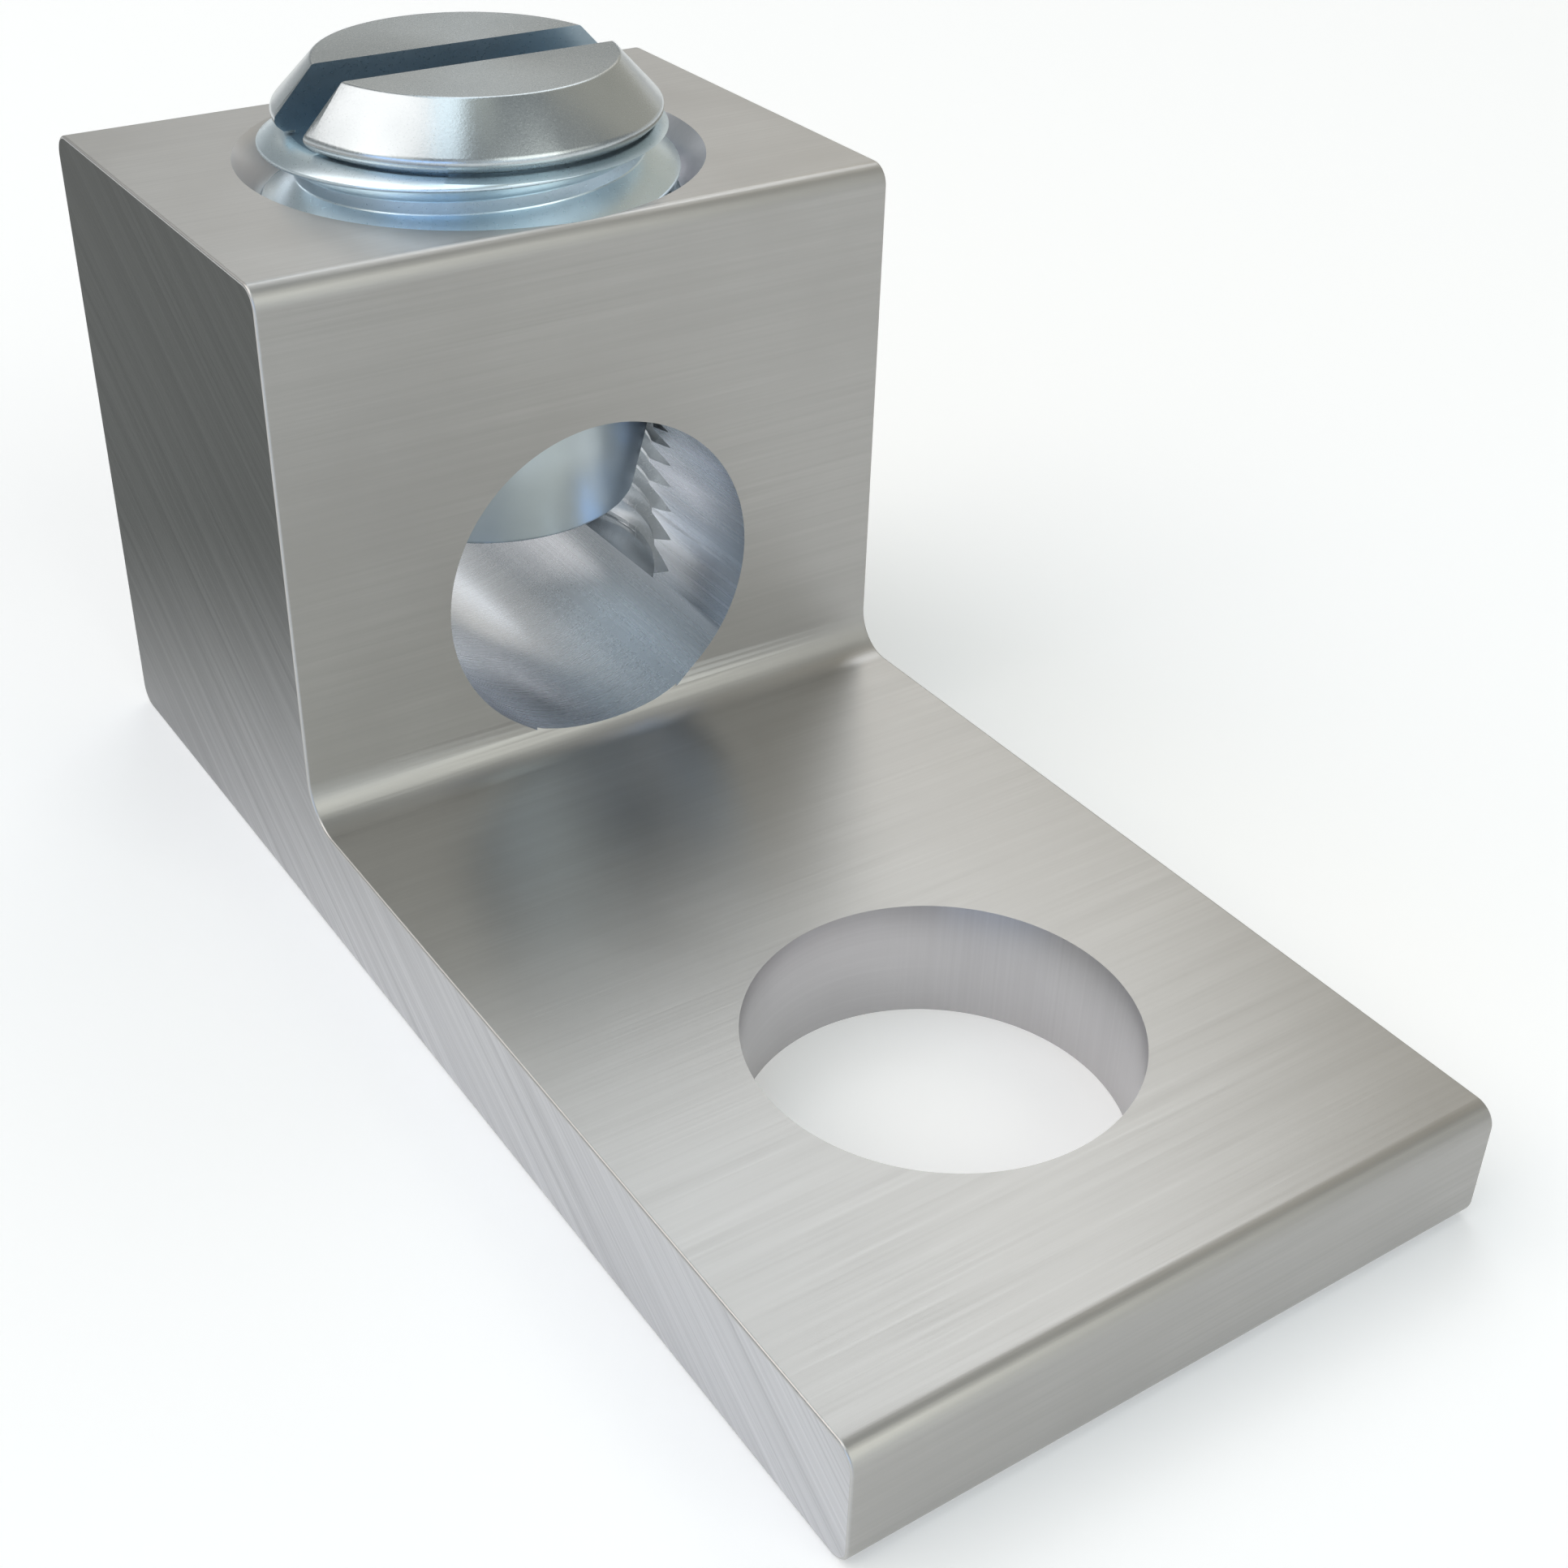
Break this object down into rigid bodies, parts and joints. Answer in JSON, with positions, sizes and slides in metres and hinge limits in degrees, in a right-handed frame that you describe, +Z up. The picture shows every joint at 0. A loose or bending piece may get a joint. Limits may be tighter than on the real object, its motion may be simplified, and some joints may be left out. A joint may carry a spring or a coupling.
{
  "type": "mechanical lug",
  "caption": "Mechanical wire lug: a flat tongue with a bolt hole, a block with a wire bore, and a slotted screw that clamps the wire from above.",
  "frame": {"origin": "centre of the bolt hole in the plane of the flat underside", "axes": "+Z up along the bolt hole's axis, +Y along the tongue towards the block, X across the width"},
  "size_m": [0.0126, 0.027, 0.0146],
  "materials": {
    "body_metal": "satin, fine lengthwise grain",
    "screw_steel": "satin zinc plate"
  },
  "bodies": {
    "root": {"lug_body": "body_metal"},
    "screw": {"clamp_screw": "screw_steel"}
  },
  "joints": [
    {"name": "screw_travel", "type": "slide", "parent": "root", "child": "screw", "axis": [0, 0, 1], "range_m": [-0.002, 0.003]}
  ]
}
